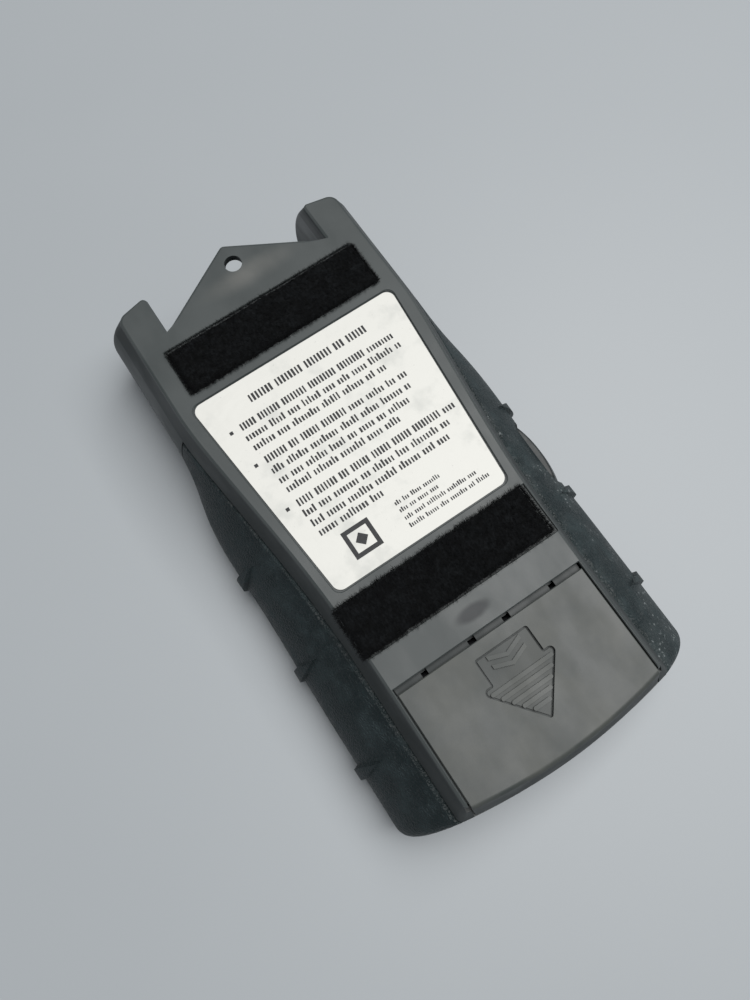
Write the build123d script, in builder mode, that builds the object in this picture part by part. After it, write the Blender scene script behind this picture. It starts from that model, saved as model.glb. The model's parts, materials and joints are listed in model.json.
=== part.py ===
from build123d import *
import os
from math import cos, radians

# Hand-held stud finder, lying on its front face: +Z out of the wall face, +Y towards the sensing
# end with its two horns, +X towards the side button. Millimetres throughout.

# ---------------------------------------------------------------- driving dimensions
FACE_Z = 33.5            # flat wall face
SEAM_Z = 27.1            # parting line of the two shells
BELLY_Z = 2.5            # where the front starts to turn into its flat rest area
SHELL_WALL = 2.2
PLASTIC_WALL = 2.1       # front shell wall behind the rubber
NOTCH_X = 23.4           # inner faces of the horns
NOTCH_Y = 57.5           # end wall between the horns
TIP_ROUND = 1.3          # inner corner of each horn tip
HORN_ROUND = 3.0         # outer corner of each horn tip
HORN_FOOT_Y = 38.5       # lower end of the straight sides
SHOULDER_Y = 21.0
WAIST_Y = -4.5
HIP_Y = -44.5
END_RADIUS = 150.0       # bowed bottom end
EDGE_ROUND = 0.8         # rounding round the wall face
EASED = 0.2              # small broken edge round recesses
FIT = 0.3                # gap round moving pieces
REACH = 90.0             # larger than the tool, for cuts that run right through

GRIP_SKIN = 2.5          # rubber thickness on the sides
GRIP_TOP_SKIN = 1.2      # rubber thickness at the parting line
GRIP_TOP_Y = 34.6
GRIP_INNER_X = 27.0
GRIP_Z = (3.0, SEAM_Z - 0.1)
GRIP_TOP_GAP = 0.4       # groove at the upper end of each grip
GRIP_SEAM_GAP = 0.9      # groove along the parting line

TAB_THICKNESS = 2.0
TAB_TIP_Y = 72.35
TAB_ROOT_Y = 58.8
HANG_HOLE_Y = 66.0
HANG_HOLE_R = 2.3

UPPER_FELT = (0.0, 47.68, 54.06, 13.16)      # recess centre x, y and size
LOWER_FELT = (0.0, -28.72, 52.0, 13.24)
FELT_RECESS = 0.6
FELT_PROUD = 1.3
FELT_Z = (FACE_Z - FELT_RECESS, FACE_Z + FELT_PROUD)

LABEL_TOP_Y = 37.57
LABEL_END_Y = -19.39
LABEL_TOP_HALF = 28.9
LABEL_END_HALF = 23.5
LABEL_RECESS = 0.45
LABEL_THICKNESS = 0.3
LABEL_GAP = 0.35

DOOR_HALF = 25.0
DOOR_GAP = 0.3
DOOR_TOP_Y = -45.2
DOOR_SLOT_Y = -43.7
DOOR_PLATE = 1.8
DOOR_END_Y = -75.2
DOOR_WALL = 1.4
DOOR_TONGUE_Y = -41.3
TONGUE_Z = (30.8, 32.0)
TONGUES = ((-25.0, -18.2), (-16.6, -5.7), (-3.7, 3.7), (5.7, 16.6), (18.2, 25.0))
LIP_X = (24.0, 25.95)    # side lips that run in the shell's grooves
ARROW_DEPTH = 0.5
ARROW_GROOVE = (0.9, 0.5)          # depth and width of the groove round the sunk arrow
ARROW_RIBS = ((-56.6, 8.3), (-58.45, 6.9), (-60.3, 5.4), (-62.1, 3.9), (-63.9, 2.3))
ARROW_RIB_WIDTH = 0.95
CHEVRONS = (-50.2, -52.4)
MARK_HEIGHT = 0.45       # how far ribs and chevrons rise from the arrow's floor
FLARE = 19.6             # slope of the outer walls, degrees from vertical

BATTERY = (46.4, 26.5, 17.5)
BATTERY_Z = 13.0
BAY_HALF = 25.0
BAY_WALL = 0.8
BAY_TOP_Y = -44.1
BAY_END_Y = -70.9
BAY_RIM_Z = 30.5
BATTERY_X0 = -24.6
BATTERY_X1 = BATTERY_X0 + BATTERY[0]
BATTERY_Y = (BAY_TOP_Y + BAY_END_Y) / 2
BATTERY_MID_Z = BATTERY_Z + BATTERY[2] / 2
TERMINAL_Y = 6.35
LEAD_R = 0.55

BOARD_Z = 17.0
BOARD_THICKNESS = 1.6
BOARD_HALF = 24.0
BOARD_TOP_Y = 52.0
BOARD_END_Y = -40.0
BOARD_TOP_Z = BOARD_Z + BOARD_THICKNESS

BUTTON_Y = -14.7
BUTTON_Z = 13.0
BUTTON_LENGTH = 19.0
BUTTON_HEIGHT = 10.0
BUTTON_CROWN = (41.5, 32.0)        # x of the middle of the crowned face and its radius
BUTTON_LEAN = 20.0                 # inward lean of that face, degrees
BUTTON_STEM_R = 2.0
BUTTON_FLANGE_X = 30.5
PLUNGER_TIP_X = 27.0
PLUNGER_R = 1.6

RIDGE_PITCH = 27.5
RIDGE_ROWS = (0.0, -RIDGE_PITCH, -2 * RIDGE_PITCH)
RIDGE_FOOT = (38.0, 8.5)           # x and z of the plane a rib grows from
RIDGE_LEAN = 0.25                  # upward lean of that plane's normal
RIDGE_HALF = 3.2                   # half width of a rib on that plane
RIDGE_UP = 13.5                    # length of its point upwards
RIDGE_DOWN = 6.5                   # length of its blunt end downwards
RIDGE_TAPER = 18.0

SCREW_SPOTS = ((-21.0, 47.7), (21.0, 47.7), (-20.0, -28.7), (20.0, -28.7))
SCREW_R = 1.3
SCREW_HEAD_R = 2.5
SCREW_TIP_Z = 15.0
BOARD_SCREW_SPOTS = ((-15.0, 8.0), (15.0, 8.0))

STUD_LED_Y = 46.0
READY_LED_Y = 34.0
LED_R = 2.5
LENS_R = 3.4
PANEL = (0.0, -44.0, 52.0, 38.0)   # recess centre x, y and size
PANEL_CORNER = 4.0
PANEL_RECESS = 0.6
PANEL_GAP = 0.2
BEZEL = (30.0, 16.0)               # sunk slot round the two lenses
BUZZER_Y = -8.0
BUZZER_R = 11.0
SOUND_SLOTS = (-2, -1, 0, 1, 2)
SOUND_PITCH = 3.0

# One level of the outer form: height, horn tip y, outer horn corner x and y, then half widths at
# the horn foot, shoulder, waist and hip, bottom end y and corner radius.
FACE = dict(z=FACE_Z, tip=70.8, corner_y=69.0, side=32.6, shoulder=31.3, waist=28.25, hip=26.36,
            end=-74.2, corner=1.0)
SEAM = dict(z=SEAM_Z, tip=74.2, corner_y=71.2, side=34.9, shoulder=33.6, waist=30.6, hip=28.7,
            end=-77.4, corner=1.5)
MID = dict(z=19.5, tip=77.9, corner_y=73.0, side=37.2, shoulder=38.0, waist=37.4, hip=37.0,
           end=-78.3, corner=3.2)
WIDE = dict(z=8.5, tip=79.5, corner_y=73.6, side=36.8, shoulder=40.6, waist=41.7, hip=42.0,
            end=-78.3, corner=3.6)
BELLY = dict(z=BELLY_Z, tip=78.2, corner_y=72.2, side=34.6, shoulder=38.6, waist=39.9, hip=40.2,
             end=-77.1, corner=3.6)
REST = dict(z=0.0, tip=75.2, corner_y=69.6, side=31.8, shoulder=35.8, waist=37.1, hip=37.4,
            end=-74.6, corner=3.2)
FRONT_LEVELS = (SEAM, MID, WIDE, BELLY)


def level_sketch(level, inset=0.0, end_inset=None, z=None):
    """Closed outline of one level, drawn inwards by inset, with the notch between the horns."""
    end_inset = inset if end_inset is None else end_inset
    side = level["side"] - inset
    hip = level["hip"] - inset
    corner = max(level["corner"] - inset, 0.6)
    foot = hip - corner
    end_y = level["end"] + end_inset
    foot_y = end_y + foot**2 / (2 * END_RADIUS)
    notch = NOTCH_X + inset
    tip = level["tip"] - inset
    with BuildSketch(Plane.XY.offset(level["z"] if z is None else z)) as outline:
        with BuildLine():
            Polyline((0, NOTCH_Y - inset), (notch, NOTCH_Y - inset), (notch, tip),
                     (side - 0.2, level["corner_y"] - inset), (side, HORN_FOOT_Y))
            Spline((side, HORN_FOOT_Y), (level["shoulder"] - inset, SHOULDER_Y),
                   (level["waist"] - inset, WAIST_Y), (hip, HIP_Y), tangents=[(0, -1), (0, -1)])
            Line((hip, HIP_Y), (hip, foot_y + corner))
            TangentArc((hip, foot_y + corner), (foot, foot_y), tangent=(0, -1))
            ThreePointArc((foot, foot_y), (0, end_y), (-foot, foot_y))
            TangentArc((-hip, foot_y + corner), (-foot, foot_y), tangent=(0, -1))
            Line((-hip, HIP_Y), (-hip, foot_y + corner))
            Spline((-side, HORN_FOOT_Y), (-level["shoulder"] + inset, SHOULDER_Y),
                   (-level["waist"] + inset, WAIST_Y), (-hip, HIP_Y), tangents=[(0, -1), (0, -1)])
            Polyline((-side, HORN_FOOT_Y), (-side + 0.2, level["corner_y"] - inset),
                     (-notch, tip), (-notch, NOTCH_Y - inset), (0, NOTCH_Y - inset))
        make_face()
        tips = outline.vertices().filter_by(lambda v: abs(v.Y - tip) < 0.01)
        fillet(tips, max(TIP_ROUND - inset, 0.4))
        corners = outline.vertices().filter_by(lambda v: abs(v.Y - level["corner_y"] + inset) < 0.01)
        fillet(corners, max(HORN_ROUND - inset, 0.4))
    return outline.sketch


def form(levels, insets, end_insets=None, ruled=False):
    """Solid lofted through the levels, each drawn inwards by its own inset."""
    end_insets = insets if end_insets is None else end_insets
    sections = [level_sketch(level, inset, end_inset)
                for level, inset, end_inset in zip(levels, insets, end_insets)]
    with BuildPart() as solid:
        for section in sections:
            add(section)
        loft(ruled=ruled)
    return solid.part


def slab(x, y, z, mode=Mode.ADD):
    """Box between the given limits in x, y and z."""
    with Locations(((x[0] + x[1]) / 2, (y[0] + y[1]) / 2, (z[0] + z[1]) / 2)):
        Box(x[1] - x[0], y[1] - y[0], z[1] - z[0], mode=mode)


def rods(spots, radius, z, mode=Mode.ADD):
    """Upright cylinders at the given x, y spots, between two heights."""
    with Locations([(x, y, z[0]) for x, y in spots]):
        Cylinder(radius, z[1] - z[0], align=(Align.CENTER, Align.CENTER, Align.MIN), mode=mode)


def label_outline(z, grow=0.0):
    """Tapered label shape with rounded corners, grown outwards by grow."""
    with BuildSketch(Plane.XY.offset(z)) as outline:
        Polygon((-LABEL_TOP_HALF - grow, LABEL_TOP_Y + grow), (-LABEL_END_HALF - grow, LABEL_END_Y - grow),
                (LABEL_END_HALF + grow, LABEL_END_Y - grow), (LABEL_TOP_HALF + grow, LABEL_TOP_Y + grow),
                align=None)
        fillet(outline.vertices(), 2.2)
    return outline.sketch


def button_outline(grow=0.0):
    """Rounded button outline on the side, in the YZ plane, grown outwards by grow."""
    with BuildSketch(Plane.YZ) as outline:
        with Locations((BUTTON_Y, BUTTON_Z)):
            RectangleRounded(BUTTON_LENGTH + 2 * grow, BUTTON_HEIGHT + 2 * grow, 3.0 + grow)
    return outline.sketch


def save(builder, name):
    """Label a finished piece and write it as its own STEP."""
    builder.part.label = name
    export_step(builder.part, f"parts/{name}.step")


os.makedirs("parts", exist_ok=True)

# ---------------------------------------------------------------- outer forms shared by pieces
front_form = form(FRONT_LEVELS, (0, 0, 0, 0))
belly_form = form((BELLY, REST), (0, 0), ruled=True)
grip_core = form(FRONT_LEVELS, (GRIP_TOP_SKIN, GRIP_SKIN, GRIP_SKIN, GRIP_SKIN))
ridge_form = form(FRONT_LEVELS, (0, -0.8, -1.2, -0.8))
side_inset = GRIP_SKIN + PLASTIC_WALL
front_cavity = form(FRONT_LEVELS, (2.4, side_inset, side_inset, side_inset), (2.4, 3.4, 3.4, 3.4))
horn_cavity = form(FRONT_LEVELS, (SHELL_WALL, SHELL_WALL, SHELL_WALL, SHELL_WALL))

with BuildPart() as horn_rooms:
    add(horn_cavity)
    slab((-REACH, REACH), (36.7, REACH), (BELLY_Z, SEAM_Z + 1), mode=Mode.INTERSECT)


def grip_blank(side, top_gap=0.0, seam_gap=0.0):
    """Rubber skin on one side of the front shell, side being -1 or 1, short of its recess by the gaps."""
    x = sorted((side * GRIP_INNER_X, side * 60.0))
    with BuildPart() as blank:
        add(front_form)
        add(grip_core, mode=Mode.SUBTRACT)
        slab(x, (-REACH, GRIP_TOP_Y - top_gap), (GRIP_Z[0], GRIP_Z[1] - seam_gap), mode=Mode.INTERSECT)
    return blank.part


def ridge_blank(y):
    """Almond-shaped block on the left side that narrows outwards, pointed up and blunt down."""
    foot = Plane(origin=(-RIDGE_FOOT[0], y, RIDGE_FOOT[1]), x_dir=(0, 1, 0), z_dir=(-1, 0, RIDGE_LEAN))
    with BuildPart() as block:
        with BuildSketch(foot):
            with BuildLine():
                Spline((0, -RIDGE_UP), (RIDGE_HALF, 0), (0, RIDGE_DOWN), tangents=[(0.35, 1), (-1, 0.5)])
                Spline((0, -RIDGE_UP), (-RIDGE_HALF, 0), (0, RIDGE_DOWN), tangents=[(-0.35, 1), (1, 0.5)])
            make_face()
        extrude(amount=7.0, taper=RIDGE_TAPER)
    return block.part


with BuildPart() as left_ridges:
    for y in RIDGE_ROWS:
        add(ridge_blank(y))
    add(ridge_form, mode=Mode.INTERSECT)
    slab((-REACH, REACH), (-REACH, REACH), (GRIP_Z[0], GRIP_Z[1] - 1), mode=Mode.INTERSECT)
    add(grip_core, mode=Mode.SUBTRACT)

left_blank = grip_blank(-1)
right_blank = grip_blank(1)
right_ridges = mirror(left_ridges.part, about=Plane.YZ)

# ---------------------------------------------------------------- back shell with battery bay
with BuildPart() as tab:
    with BuildSketch(Plane.XY.offset(FACE_Z)):
        Polygon((-25.5, 50), (-25.5, 58.0), (-NOTCH_X, TAB_ROOT_Y), (0, TAB_TIP_Y), (NOTCH_X, TAB_ROOT_Y),
                (25.5, 58.0), (25.5, 50), align=None)
    extrude(amount=-TAB_THICKNESS)
    fillet(tab.edges().filter_by(Axis.Z).sort_by(Axis.Y)[-1], 1.5)
    fillet([e for e in tab.faces().sort_by(Axis.Z)[-1].edges() if e.center().Y > 59], EDGE_ROUND)

with BuildPart() as back_shell:
    add(form((FACE, dict(FACE, z=FACE_Z - 0.3 * EDGE_ROUND), dict(FACE, z=FACE_Z - EDGE_ROUND), SEAM),
             (EDGE_ROUND, 0.3 * EDGE_ROUND, 0, 0), ruled=True))
    add(tab.part)
    add(form((dict(FACE, z=FACE_Z - SHELL_WALL, side=31.8, shoulder=30.5, waist=27.6, hip=26.0), SEAM),
             (SHELL_WALL, SHELL_WALL), ruled=True), mode=Mode.SUBTRACT)
    for x, y, length, height in (UPPER_FELT, LOWER_FELT):
        slab((x - length / 2, x + length / 2), (y - height / 2, y + height / 2),
             (FACE_Z - FELT_RECESS, FACE_Z + 2), mode=Mode.SUBTRACT)
    extrude(label_outline(FACE_Z, LABEL_GAP), amount=-LABEL_RECESS, mode=Mode.SUBTRACT)
    rods([(0, HANG_HOLE_Y)], HANG_HOLE_R, (FACE_Z - 5, FACE_Z + 1), mode=Mode.SUBTRACT)
    with BuildSketch(Plane.XY.offset(FACE_Z)):
        for x, y, length, height in (UPPER_FELT, LOWER_FELT):
            with Locations((x, y)):
                Rectangle(length + 2 * EASED, height + 2 * EASED)
        add(label_outline(0, LABEL_GAP + EASED))
        with Locations((0, DOOR_SLOT_Y + EASED)):
            Rectangle(2 * (DOOR_HALF + DOOR_GAP + EASED), 50, align=(Align.CENTER, Align.MAX))
    extrude(amount=-EASED, taper=45, mode=Mode.SUBTRACT)
    # opening for the battery door, its side grooves and the pocket for its tongues
    opening = DOOR_HALF + DOOR_GAP
    slab((-opening, opening), (-REACH, DOOR_SLOT_Y), (SEAM_Z - 1, FACE_Z + 1), mode=Mode.SUBTRACT)
    slab((-26.25, 26.25), (-REACH, DOOR_SLOT_Y), (30.55, 32.5), mode=Mode.SUBTRACT)
    slab((-opening, opening), (DOOR_SLOT_Y - 1, -40.9), (29.0, 32.5), mode=Mode.SUBTRACT)
    # battery bay hanging under the opening
    slab((-BAY_HALF - 0.9, BAY_HALF + 0.9), (BAY_END_Y - BAY_WALL, BAY_TOP_Y + BAY_WALL),
         (BATTERY_Z - 1.1, BAY_RIM_Z))
    slab((-BAY_HALF, BAY_HALF), (BAY_END_Y, BAY_TOP_Y), (BATTERY_Z - 0.3, BAY_RIM_Z + 1),
         mode=Mode.SUBTRACT)
    slab((23.4, 25.4), (BAY_TOP_Y - 0.1, BAY_TOP_Y + 1), (19.4, 24.8), mode=Mode.SUBTRACT)
    # screw bosses
    rods(SCREW_SPOTS, 3.4, (SEAM_Z, FACE_Z - 2))
    rods(SCREW_SPOTS, 1.5, (SEAM_Z - 1, FACE_Z), mode=Mode.SUBTRACT)
    rods(SCREW_SPOTS, SCREW_HEAD_R + 0.1, (FACE_Z - 2.3, FACE_Z), mode=Mode.SUBTRACT)
save(back_shell, "back_shell")

# ---------------------------------------------------------------- front shell
with BuildPart() as front_shell:
    add(front_form)
    add(belly_form)
    add(left_blank, mode=Mode.SUBTRACT)
    add(right_blank, mode=Mode.SUBTRACT)
    add(front_cavity, mode=Mode.SUBTRACT)
    add(horn_rooms.part, mode=Mode.SUBTRACT)
    # bosses with a shoulder that carries the circuit board
    rods(SCREW_SPOTS, 3.0, (1.5, SEAM_Z))
    rods(SCREW_SPOTS, 4.2, (1.5, BOARD_Z))
    rods(SCREW_SPOTS, SCREW_R, (SCREW_TIP_Z - 1, SEAM_Z + 1), mode=Mode.SUBTRACT)
    rods(BOARD_SCREW_SPOTS, 2.6, (1.5, BOARD_Z))
    rods(BOARD_SCREW_SPOTS, 0.9, (BOARD_Z - 8, BOARD_Z + 1), mode=Mode.SUBTRACT)
    # light windows, sound slots, side button opening, panel recess
    rods([(0, STUD_LED_Y), (0, READY_LED_Y)], LENS_R + 0.05, (-1, 4), mode=Mode.SUBTRACT)
    with Locations([(0, BUZZER_Y + SOUND_PITCH * n, 1.5) for n in SOUND_SLOTS]):
        Box(14, 1.2, 5, mode=Mode.SUBTRACT)
    extrude(Pos(20, 0, 0) * button_outline(FIT), amount=40, mode=Mode.SUBTRACT)
    with BuildSketch(Plane.XY):
        with Locations((PANEL[0], PANEL[1])):
            RectangleRounded(PANEL[2], PANEL[3], PANEL_CORNER)
        with Locations((0, (STUD_LED_Y + READY_LED_Y) / 2)):
            SlotOverall(BEZEL[0], BEZEL[1], rotation=90)
    extrude(amount=PANEL_RECESS, mode=Mode.SUBTRACT)
save(front_shell, "front_shell")

# ---------------------------------------------------------------- rubber grips
with BuildPart() as left_grip:
    add(grip_blank(-1, GRIP_TOP_GAP, GRIP_SEAM_GAP))
    add(left_ridges.part)
save(left_grip, "left_grip")

with BuildPart() as right_grip:
    add(grip_blank(1, GRIP_TOP_GAP, GRIP_SEAM_GAP))
    add(right_ridges)
    extrude(Pos(20, 0, 0) * button_outline(FIT), amount=40, mode=Mode.SUBTRACT)
save(right_grip, "right_grip")

# ---------------------------------------------------------------- side button and its switch
with BuildPart() as side_button:
    extrude(Pos(BUTTON_FLANGE_X, 0, 0) * button_outline(), amount=30)
    axis_x = BUTTON_CROWN[0] - BUTTON_CROWN[1] / cos(radians(BUTTON_LEAN))
    with Locations(Location((axis_x, BUTTON_Y, BUTTON_Z), (0, -BUTTON_LEAN, 0))):
        Cylinder(BUTTON_CROWN[1], 4 * BUTTON_HEIGHT, mode=Mode.INTERSECT)
    fillet(side_button.faces().sort_by(Axis.X)[-1].outer_wire().edges(), 0.7)
    extrude(Pos(BUTTON_FLANGE_X, 0, 0) * button_outline(1.1), amount=1.2)
    extrude(Pos(BUTTON_FLANGE_X - 1, 0, 0) * button_outline(-1.5), amount=9.5, mode=Mode.SUBTRACT)
    with BuildSketch(Plane.YZ.offset(PLUNGER_TIP_X)):
        with Locations((BUTTON_Y, BUTTON_Z)):
            Circle(BUTTON_STEM_R)
    extrude(amount=13)
save(side_button, "side_button")

with BuildPart() as tactile_switch:
    slab((18.5, 24.5), (BUTTON_Y - 3, BUTTON_Y + 3), (9.8, BOARD_Z))
    with Locations(Plane.YZ.offset(24.5)):
        with Locations((BUTTON_Y, BUTTON_Z)):
            Cylinder(PLUNGER_R + 0.05, 5.0, mode=Mode.SUBTRACT)
save(tactile_switch, "tactile_switch")

with BuildPart() as switch_plunger:
    with BuildSketch(Plane.YZ.offset(23.2)):
        with Locations((BUTTON_Y, BUTTON_Z)):
            Circle(PLUNGER_R)
    extrude(amount=PLUNGER_TIP_X - 23.2)
    fillet(switch_plunger.edges().sort_by(Axis.X)[-1], 0.3)
save(switch_plunger, "switch_plunger")

# ---------------------------------------------------------------- battery door
with BuildPart() as door_form:
    with BuildSketch(Plane.XY.offset(FACE_Z)):
        with BuildLine():
            Polyline((-40, -69.0), (-40, -20), (40, -20), (40, -69.0))
            ThreePointArc((40, -69.0), (0, DOOR_END_Y), (-40, -69.0))
        make_face()
    extrude(amount=-(FACE_Z - SEAM_Z), taper=-FLARE)

with BuildPart() as door_inner:
    with BuildSketch(Plane.XY.offset(FACE_Z)):
        with BuildLine():
            Polyline((-40, -69.0 + DOOR_WALL), (-40, -20), (40, -20), (40, -69.0 + DOOR_WALL))
            ThreePointArc((40, -69.0 + DOOR_WALL), (0, DOOR_END_Y + DOOR_WALL), (-40, -69.0 + DOOR_WALL))
        make_face()
    extrude(amount=-(FACE_Z - SEAM_Z), taper=-FLARE)

with BuildPart() as door_room:
    add(door_inner.part)
    slab((-REACH, REACH), (-REACH, REACH), (SEAM_Z - 1, FACE_Z - DOOR_PLATE), mode=Mode.INTERSECT)

with BuildPart() as battery_door:
    add(door_form.part)
    slab((-DOOR_HALF, DOOR_HALF), (-REACH, DOOR_TOP_Y), (SEAM_Z + 0.15, FACE_Z), mode=Mode.INTERSECT)
    end_edge = battery_door.faces().sort_by(Axis.Z)[-1].edges().sort_by(Axis.Y)[0]
    fillet(end_edge, 1.2)
    top_edges = battery_door.faces().sort_by(Axis.Z)[-1].edges().sort_by(Axis.Y)[1:]
    chamfer(top_edges, EASED)
    add(door_room.part, mode=Mode.SUBTRACT)
    # side lips and the row of tongues that hook under the shell
    for side in (-1, 1):
        slab(sorted((side * LIP_X[0], side * LIP_X[1])), (-71.5, DOOR_TOP_Y), TONGUE_Z)
    for start, stop in TONGUES:
        slab((start, stop), (DOOR_TOP_Y - 1.5, DOOR_TONGUE_Y), TONGUE_Z)
    # sunk arrow with raised finger ribs
    with BuildSketch(Plane.XY.offset(FACE_Z)) as arrow:
        Polygon((-7.1, -48.4), (-7.1, -54.8), (-10.4, -54.8), (0, -67.6), (10.4, -54.8), (7.1, -54.8),
                (7.1, -48.4), align=None)
        fillet(arrow.vertices().filter_by_position(Axis.Y, -48.5, -48.3), 0.7)
        fillet(arrow.vertices().filter_by(lambda v: abs(v.X) > 9), 1.1)
        fillet(arrow.vertices().sort_by(Axis.Y)[0], 0.6)
    extrude(amount=-ARROW_DEPTH, mode=Mode.SUBTRACT)
    with BuildSketch(Plane.XY.offset(FACE_Z)):
        add(arrow.sketch)
        offset(arrow.sketch, amount=-ARROW_GROOVE[1], mode=Mode.SUBTRACT)
    extrude(amount=-ARROW_GROOVE[0], mode=Mode.SUBTRACT)
    with BuildSketch(Plane.XY.offset(FACE_Z - ARROW_DEPTH)):
        for y, half in ARROW_RIBS:
            with Locations((0, y)):
                SlotOverall(2 * half, ARROW_RIB_WIDTH)
        for y in CHEVRONS:
            with Locations((0, y)):
                Polygon((-4.4, 1.1), (0, -0.5), (4.4, 1.1), (4.4, 0.1), (0, -1.5), (-4.4, 0.1), align=None)
    extrude(amount=MARK_HEIGHT)
save(battery_door, "battery_door")

with BuildPart() as battery_foam_pad:
    slab((-20, 20), (-67, -48), (30.75, FACE_Z - DOOR_PLATE))
save(battery_foam_pad, "battery_foam_pad")

# ---------------------------------------------------------------- battery and its contacts
with BuildPart() as battery:
    slab((BATTERY_X0, BATTERY_X1), (BATTERY_Y - BATTERY[1] / 2, BATTERY_Y + BATTERY[1] / 2),
         (BATTERY_Z, BATTERY_Z + BATTERY[2]))
    fillet(battery.edges().filter_by(Axis.X), 2.0)
    with BuildSketch(Plane.YZ.offset(BATTERY_X1)):
        with Locations((BATTERY_Y - TERMINAL_Y, BATTERY_MID_Z)):
            Circle(2.9)
        with Locations((BATTERY_Y + TERMINAL_Y, BATTERY_MID_Z)):
            Circle(4.0)
            Circle(2.7, mode=Mode.SUBTRACT)
    extrude(amount=2.0)
save(battery, "battery")

with BuildPart() as battery_contacts:
    with BuildSketch(Plane.YZ.offset(BATTERY_X1 + 0.2)):
        with Locations((BATTERY_Y - TERMINAL_Y, BATTERY_MID_Z)):
            Circle(4.0)
            Circle(2.95, mode=Mode.SUBTRACT)
        with Locations((BATTERY_Y + TERMINAL_Y, BATTERY_MID_Z)):
            Circle(2.6)
    extrude(amount=1.9)
save(battery_contacts, "battery_contacts")

with BuildPart() as contact_block:
    slab((BATTERY_X1 + 2.1, BAY_HALF - 0.05), (-68.5, -46.0), (14.0, 29.5))
    fillet(contact_block.edges().filter_by(Axis.X), 1.5)
save(contact_block, "contact_block")


def lead(route, radii, radius):
    """Insulated wire along a route of straight runs and tangent arcs."""
    with BuildPart() as wire:
        with BuildLine() as path:
            FilletPolyline(*route, radius=radii)
        with BuildSketch(Plane(origin=route[0], z_dir=(0, 1, 0))):
            Circle(radius)
        sweep(path=path.line)
    return wire


RED_ROUTE = ((24.4, -46.0, 23.6), (24.4, -40.5, 23.6), (18.5, -36.0, 22.6),
             (14.5, -34.5, BOARD_TOP_Z + 0.5))
BLACK_ROUTE = ((24.4, -46.0, 20.6), (24.4, -41.5, 20.6), (20.5, -38.5, 20.6),
               (18.0, -37.8, BOARD_TOP_Z + 0.5))
save(lead(RED_ROUTE, [5.0, 4.0], LEAD_R), "battery_lead_red")
save(lead(BLACK_ROUTE, [3.5, 1.8], LEAD_R), "battery_lead_black")

# ---------------------------------------------------------------- circuit board and what is on it
with BuildPart() as circuit_board:
    slab((-BOARD_HALF, BOARD_HALF), (BOARD_END_Y, BOARD_TOP_Y), (BOARD_Z, BOARD_TOP_Z))
    fillet(circuit_board.edges().filter_by(Axis.Z), 2.0)
    rods(SCREW_SPOTS, 3.15, (BOARD_Z - 1, BOARD_TOP_Z + 1), mode=Mode.SUBTRACT)
    rods(BOARD_SCREW_SPOTS, 1.1, (BOARD_Z - 1, BOARD_TOP_Z + 1), mode=Mode.SUBTRACT)
save(circuit_board, "circuit_board")

with BuildPart() as sensor_plates:
    with Locations([(x, 33.0, BOARD_TOP_Z + 0.15) for x in (-9.0, 0.0, 9.0)]):
        Box(6.5, 26.0, 0.3)
save(sensor_plates, "sensor_plates")

with BuildPart() as controller_chip:
    slab((-9.6, 9.6), (4.8, 11.2), (BOARD_TOP_Z + 0.6, BOARD_TOP_Z + 4.0))
    for row in (-1, 1):
        with Locations([(2.54 * (n - 3), 8 + 3.8 * row, BOARD_TOP_Z + 1.0) for n in range(7)]):
            Box(0.6, 1.6, 2.0)
save(controller_chip, "controller_chip")

with BuildPart() as capacitors:
    rods([(-10, -8), (-10, -16)], 3.1, (BOARD_TOP_Z, BOARD_TOP_Z + 9))
    rods([(12, -8)], 2.5, (BOARD_TOP_Z, BOARD_TOP_Z + 8))
    fillet(capacitors.edges().group_by(Axis.Z)[-1], 0.5)
save(capacitors, "capacitors")

with BuildPart() as resistors:
    for column in (-1, 0, 1):
        for row in (0, 1, 2):
            with Locations((10.0 * column, -22.5 - 4.2 * row, BOARD_TOP_Z + 1.15)):
                Cylinder(1.1, 6.2, rotation=(0, 90, 0))
save(resistors, "resistors")

with BuildPart() as transistors:
    for x in (-2.5, 4.0):
        with Locations((x, -8.0, BOARD_TOP_Z + 2.5)):
            Cylinder(2.2, 5.0)
        slab((x - 3, x + 3), (-6.7, -4.0), (BOARD_TOP_Z, BOARD_TOP_Z + 6), mode=Mode.SUBTRACT)
save(transistors, "transistors")

with BuildPart() as trimmer:
    slab((8.5, 15.0), (-17.2, -12.8), (BOARD_TOP_Z, BOARD_TOP_Z + 3.4))
    rods([(11.7, -15.0)], 1.6, (BOARD_TOP_Z + 3.4, BOARD_TOP_Z + 4.2))
    slab((10.5, 12.9), (-15.25, -14.75), (BOARD_TOP_Z + 3.8, BOARD_TOP_Z + 5), mode=Mode.SUBTRACT)
save(trimmer, "calibration_trimmer")

with BuildPart() as buzzer:
    rods([(0, BUZZER_Y)], BUZZER_R, (BOARD_Z - 7.0, BOARD_Z))
    rods([(0, BUZZER_Y)], 1.5, (BOARD_Z - 8.0, BOARD_Z - 5.5), mode=Mode.SUBTRACT)
save(buzzer, "buzzer")


def light(y):
    """Round light-emitting diode hanging under the board, its dome pointing to the front."""
    with BuildPart() as diode:
        rods([(0, y)], LED_R, (5.6, 11.7))
        fillet(diode.edges().sort_by(Axis.Z)[0], LED_R - 0.1)
        rods([(0, y)], LED_R + 0.4, (11.0, 12.0))
        with Locations([(x, y, (BOARD_Z + 12.0) / 2) for x in (-1.27, 1.27)]):
            Box(0.5, 0.5, BOARD_Z - 12.0)
    return diode


def window(y):
    """Flanged lens that fills a round window in the front shell."""
    with BuildPart() as lens:
        rods([(0, y)], LENS_R, (0.1, BELLY_Z + 0.2))
        rods([(0, y)], LENS_R + 1.0, (BELLY_Z, BELLY_Z + 1.0))
        fillet(lens.edges().sort_by(Axis.Z)[0], 0.4)
    return lens


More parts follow.
